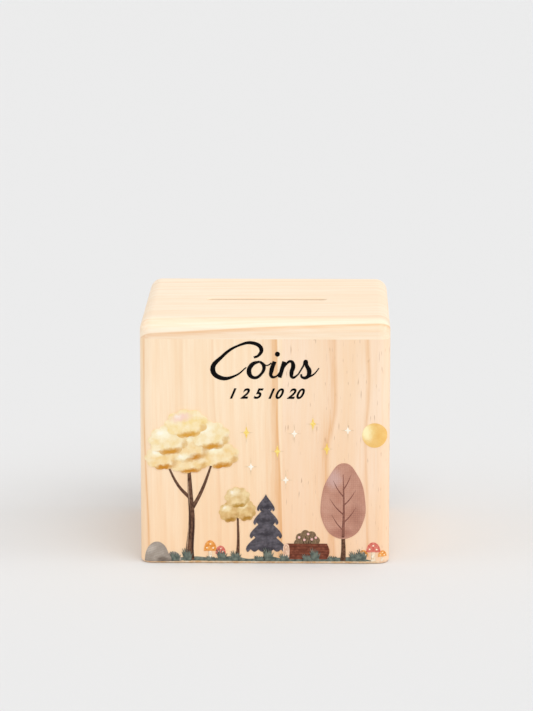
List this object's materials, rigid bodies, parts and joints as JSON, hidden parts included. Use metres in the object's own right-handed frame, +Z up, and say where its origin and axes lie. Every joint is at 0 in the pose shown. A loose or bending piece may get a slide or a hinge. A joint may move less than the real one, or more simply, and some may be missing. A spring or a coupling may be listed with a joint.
{
  "type": "wooden money box",
  "caption": "Cube money box of glued pine boards with a coin slot in the top, printed trees and stars on the front and a pull-out stopper in the base.",
  "frame": {"origin": "middle of the base, on the surface the box stands on", "axes": "+Z up, -Y out of the decorated front, +X to the right of a person who faces the front"},
  "size_m": [0.1, 0.1, 0.1],
  "materials": {
    "pine": "planed and sanded smooth, unvarnished",
    "plywood": "sanded birch plywood, unvarnished",
    "soft_pvc": "moulded, matt",
    "printed_ink": "flat-bed printed ink, slightly raised, satin"
  },
  "bodies": {
    "box": {"top_board": "pine", "front_left_stave": "pine", "front_right_stave": "pine", "back_left_stave": "pine", "back_right_stave": "pine", "left_front_stave": "pine", "left_rear_stave": "pine", "right_front_stave": "pine", "right_rear_stave": "pine", "bottom_panel": "plywood"},
    "plug": {"closure_plug": "soft_pvc"}
  },
  "joints": [
    {"name": "plug_pull", "type": "slide", "parent": "box", "child": "plug", "axis": [0, 0, -1], "range_m": [0, 0.03]}
  ]
}
